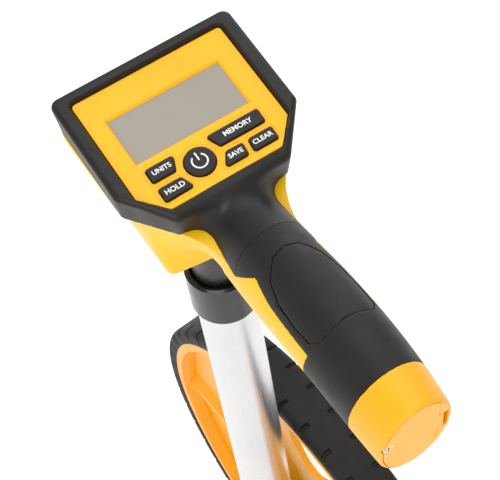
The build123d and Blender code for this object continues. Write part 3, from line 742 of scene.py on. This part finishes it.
def tyre_profile():
    """Points of (radius, distance from the middle) from one bead over the tread to the other."""
    outer, half = (tyre_high[2] - tyre_low[2]) / 2 / MM, (tyre_high[1] - tyre_low[1]) / 2 / MM
    side = [(149.2, half - 0.9), (150.0, half - 0.3), (151.5, half), (153.0, half)]
    shoulder_centre = (outer - 4.6, half - 5.0)
    for step in range(13):
        angle = math.radians(90 - 90 * step / 12)
        side.append((
            shoulder_centre[0] + 4.6 * math.cos(angle) ** 0.9 if step else shoulder_centre[0],
            shoulder_centre[1] + 5.0 * math.sin(angle) ** 0.9 if step < 12 else shoulder_centre[1],
        ))
    flat = np.linspace(half - 5.6, 0, 9)
    side += [(outer, y) for y in flat]
    return side + [(r, -y) for r, y in reversed(side[:-1])]


def tread_depth(arc, y, radius, outer):
    """How far the tread is cut away: notches across both shoulders, slanted sipes on the walls."""
    right = y < 0
    phase = np.where(right, 0.9 * 20, 0.82 * 20)
    pitch = 2 * math.pi * outer / BLOCKS
    lean = np.where(right, 0.0, 0.55) * (outer - radius)
    offset = (arc - phase - lean + pitch / 2) % pitch - pitch / 2
    side = np.abs(y)
    notch_wide = np.clip((1.35 - np.abs(offset)) / 0.35, 0, 1)
    notch = notch_wide * np.clip((side - 6.6) / 0.4, 0, 1) * np.clip((radius - 155.5) / 0.8, 0, 1)
    sipe = np.clip((0.8 - np.abs(offset)) / 0.35, 0, 1) * np.clip((side - 12.0) / 0.8, 0, 1)
    second = (offset + pitch * 1.5) % (pitch / 2) - pitch / 4
    fine = np.clip((0.5 - np.abs(second)) / 0.35, 0, 1) * np.clip((side - 12.6) / 0.5, 0, 1)
    wall = np.clip((radius - 150.6) / 1.2, 0, 1)
    return np.maximum(1.9 * notch, np.maximum(0.9 * sipe * wall, 0.45 * fine * wall))


def make_tyre():
    profile = np.array(tyre_profile())
    outer = profile[:, 0].max()
    tangent = np.gradient(profile, axis=0)
    normal = np.stack([-tangent[:, 1], tangent[:, 0]], axis=1)
    normal /= np.linalg.norm(normal, axis=1, keepdims=True)
    turns = np.arange(BLOCKS * BLOCK_STEPS) * 2 * math.pi / (BLOCKS * BLOCK_STEPS)
    arc = (turns * outer)[:, None]
    radius = np.repeat(profile[None, :, 0], len(turns), axis=0)
    y = np.repeat(profile[None, :, 1], len(turns), axis=0)
    cut = tread_depth(arc, y, radius, outer)
    radius = radius - cut * np.abs(normal[None, :, 0])
    y = y - cut * np.abs(normal[None, :, 1]) * np.sign(y)
    seat = np.array([(147.1, -9.8), (147.1, 9.8)])
    seat_r = np.repeat(seat[None, :, 0], len(turns), axis=0)
    seat_y = np.repeat(seat[None, :, 1], len(turns), axis=0)
    radius = np.concatenate([radius, seat_r], axis=1)
    y = np.concatenate([y, seat_y], axis=1)
    rows, columns = radius.shape
    points = np.stack([
        radius * np.cos(turns)[:, None] * MM + HUB.x,
        y * MM + HUB.y,
        radius * np.sin(turns)[:, None] * MM + HUB.z,
    ], axis=2).reshape(-1, 3)
    row, column = np.meshgrid(np.arange(rows), np.arange(columns), indexing="ij")
    next_row, next_column = (row + 1) % rows, (column + 1) % columns
    faces = np.stack([
        row * columns + column, row * columns + next_column,
        next_row * columns + next_column, next_row * columns + column,
    ], axis=2).reshape(-1, 4)
    tyre = make_mesh("tread_tyre", points, faces, MATERIALS["tyre_rubber"], 38.0)
    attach(tyre, "wheel")
    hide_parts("tyre")


# ---------------------------------------------------------------- stage, light, camera
def make_stage():
    size = 6.0
    mesh = bpy.data.meshes.new("studio_floor")
    corners = [(-size, -size, 0), (size, -size, 0), (size, size, 0), (-size, size, 0)]
    mesh.from_pydata(corners, [], [(0, 1, 2, 3)])
    surface = moulded("studio_floor", (0.93, 0.93, 0.93), 0.7, grain=300.0, depth=0.00002, wear=0.0)
    shader = surface.node_tree.nodes["Principled BSDF"]
    shader.inputs["Emission Color"].default_value = (1, 1, 1, 1)
    shader.inputs["Emission Strength"].default_value = 0.32
    mesh.materials.append(surface)
    floor = bpy.data.objects.new("studio_floor", mesh)
    bpy.context.scene.collection.objects.link(floor)


def add_light(name, place, aim, size, power, colour=(1, 1, 1)):
    light = bpy.data.lights.new(name, "AREA")
    light.shape = "RECTANGLE"
    light.size, light.size_y = size
    light.energy = power
    light.color = colour
    lamp = bpy.data.objects.new(name, light)
    lamp.matrix_world = Matrix.Translation(place) @ (
        (Vector(aim) - Vector(place)).to_track_quat("-Z", "Y").to_matrix().to_4x4()
    )
    bpy.context.scene.collection.objects.link(lamp)


def make_lights():
    world = bpy.data.worlds.new("studio")
    bpy.context.scene.world = world
    world.use_nodes = True
    background = world.node_tree.nodes["Background"]
    background.inputs["Color"].default_value = (1.0, 1.0, 1.0, 1)
    background.inputs["Strength"].default_value = 0.6
    aim = (0.0, 0.0, 0.5)
    add_light("key_softbox", (-0.9, 1.1, 1.7), aim, (1.3, 1.0), 15.0, (1.0, 0.98, 0.95))
    add_light("top_softbox", (0.3, -0.3, 2.0), aim, (1.4, 1.4), 9.0)
    add_light("rim_softbox", (1.0, -1.2, 1.1), aim, (0.8, 1.4), 6.0, (0.95, 0.97, 1.0))


def make_camera():
    """Camera at the photograph's place: above the grip, looking down and ahead."""
    right = Vector((-0.59978, -0.79386, -0.10023))
    up = Vector((0.62975, -0.54561, 0.55292))
    back = right.cross(up)
    matrix = Matrix((right, up, back)).transposed().to_4x4()
    matrix.translation = (-0.33340, 0.16300, 1.07066)
    data = bpy.data.cameras.new("camera")
    data.sensor_width = 36.0
    data.lens = 105.86
    data.clip_start = 0.01
    camera = bpy.data.objects.new("camera", data)
    camera.matrix_world = matrix
    bpy.context.scene.collection.objects.link(camera)
    bpy.context.scene.camera = camera


bpy.context.scene.view_settings.view_transform = "Standard"
make_camera()
make_lights()
make_stage()
dress_frame()
make_head()
make_keys()
make_tyre()
